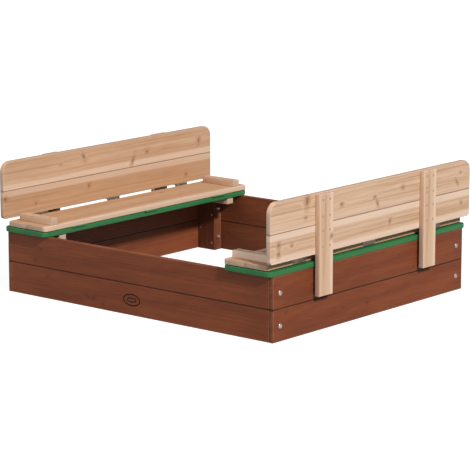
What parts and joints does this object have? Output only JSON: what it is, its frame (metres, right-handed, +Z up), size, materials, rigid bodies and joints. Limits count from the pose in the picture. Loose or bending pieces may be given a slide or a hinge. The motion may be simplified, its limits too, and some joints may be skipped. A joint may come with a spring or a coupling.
{
  "type": "sandbox with cover",
  "caption": "Low rectangular wooden sandbox whose folding cover opens on both sides into benches with hinged backrests.",
  "frame": {"origin": "centre of the footprint on the ground", "axes": "+Z up; X runs from the left bench to the right bench, Y runs along the benches, -Y is the front board with the oval mark"},
  "size_m": [1.153, 1.018, 0.4245],
  "materials": {
    "brown_stained_wood": "semi-opaque brown stain, satin",
    "green_painted_wood": "opaque green paint, satin",
    "natural_pine": "planed and oiled pine with knots",
    "green_painted_steel": "green paint over steel hinges",
    "zinc_steel": "bright zinc plated"
  },
  "bodies": {
    "frame": {"front_board_lower": "brown_stained_wood", "front_board_upper": "brown_stained_wood", "back_board_lower": "brown_stained_wood", "back_board_upper": "brown_stained_wood", "left_board_lower": "brown_stained_wood", "left_board_upper": "brown_stained_wood", "right_board_lower": "brown_stained_wood", "right_board_upper": "brown_stained_wood", "post_front_left": "brown_stained_wood", "post_front_right": "brown_stained_wood", "post_back_left": "brown_stained_wood", "post_back_right": "brown_stained_wood", "carriage_bolts": "zinc_steel", "bolt_washers": "zinc_steel", "bolt_nuts": "zinc_steel", "post_screws": "zinc_steel", "lid_fixing_screws": "zinc_steel", "left_lid_board_outer": "green_painted_wood", "left_lid_board_inner": "green_painted_wood", "left_lid_cleat_front": "natural_pine", "left_lid_cleat_back": "natural_pine", "left_lid_cleat_screws": "zinc_steel", "left_seat_hinge_fixed_leaves": "green_painted_steel", "left_seat_hinge_pins": "green_painted_steel", "right_lid_board_outer": "green_painted_wood", "right_lid_board_inner": "green_painted_wood", "right_lid_cleat_front": "natural_pine", "right_lid_cleat_back": "natural_pine", "right_lid_cleat_screws": "zinc_steel", "right_seat_hinge_fixed_leaves": "green_painted_steel", "right_seat_hinge_pins": "green_painted_steel"},
    "left_seat": {"left_seat_board_outer": "natural_pine", "left_seat_board_inner": "natural_pine", "left_seat_cleat_front": "natural_pine", "left_seat_cleat_back": "natural_pine", "left_seat_screws": "zinc_steel", "left_seat_hinge_moving_leaves": "green_painted_steel", "left_backrest_hinge_seat_leaves": "zinc_steel", "left_backrest_hinge_pins": "zinc_steel"},
    "left_backrest": {"left_backrest_board_lower": "natural_pine", "left_backrest_board_upper": "natural_pine", "left_batten_front": "natural_pine", "left_batten_back": "natural_pine", "left_backrest_screws": "zinc_steel", "left_backrest_hinge_back_leaves": "zinc_steel"},
    "right_seat": {"right_seat_board_outer": "natural_pine", "right_seat_board_inner": "natural_pine", "right_seat_cleat_front": "natural_pine", "right_seat_cleat_back": "natural_pine", "right_seat_screws": "zinc_steel", "right_seat_hinge_moving_leaves": "green_painted_steel", "right_backrest_hinge_seat_leaves": "zinc_steel", "right_backrest_hinge_pins": "zinc_steel"},
    "right_backrest": {"right_backrest_board_lower": "natural_pine", "right_backrest_board_upper": "natural_pine", "right_batten_front": "natural_pine", "right_batten_back": "natural_pine", "right_backrest_screws": "zinc_steel", "right_backrest_hinge_back_leaves": "zinc_steel"}
  },
  "joints": [
    {"name": "left_seat_fold", "type": "hinge", "parent": "frame", "child": "left_seat", "pos_m": [-0.3645, 0, 0.217], "axis": [0, 1, 0], "range_deg": [0, 180]},
    {"name": "left_backrest_fold", "type": "hinge", "parent": "left_seat", "child": "left_backrest", "pos_m": [-0.5375, 0, 0.2385], "axis": [0, -1, 0], "range_deg": [0, 90]},
    {"name": "right_seat_fold", "type": "hinge", "parent": "frame", "child": "right_seat", "pos_m": [0.3645, 0, 0.217], "axis": [0, -1, 0], "range_deg": [0, 180]},
    {"name": "right_backrest_fold", "type": "hinge", "parent": "right_seat", "child": "right_backrest", "pos_m": [0.5375, 0, 0.2385], "axis": [0, 1, 0], "range_deg": [0, 90]}
  ],
  "couplings": [
    {"joint": "left_backrest_fold", "follows": "left_seat_fold", "ratio": 0.5},
    {"joint": "right_backrest_fold", "follows": "right_seat_fold", "ratio": 0.5}
  ]
}
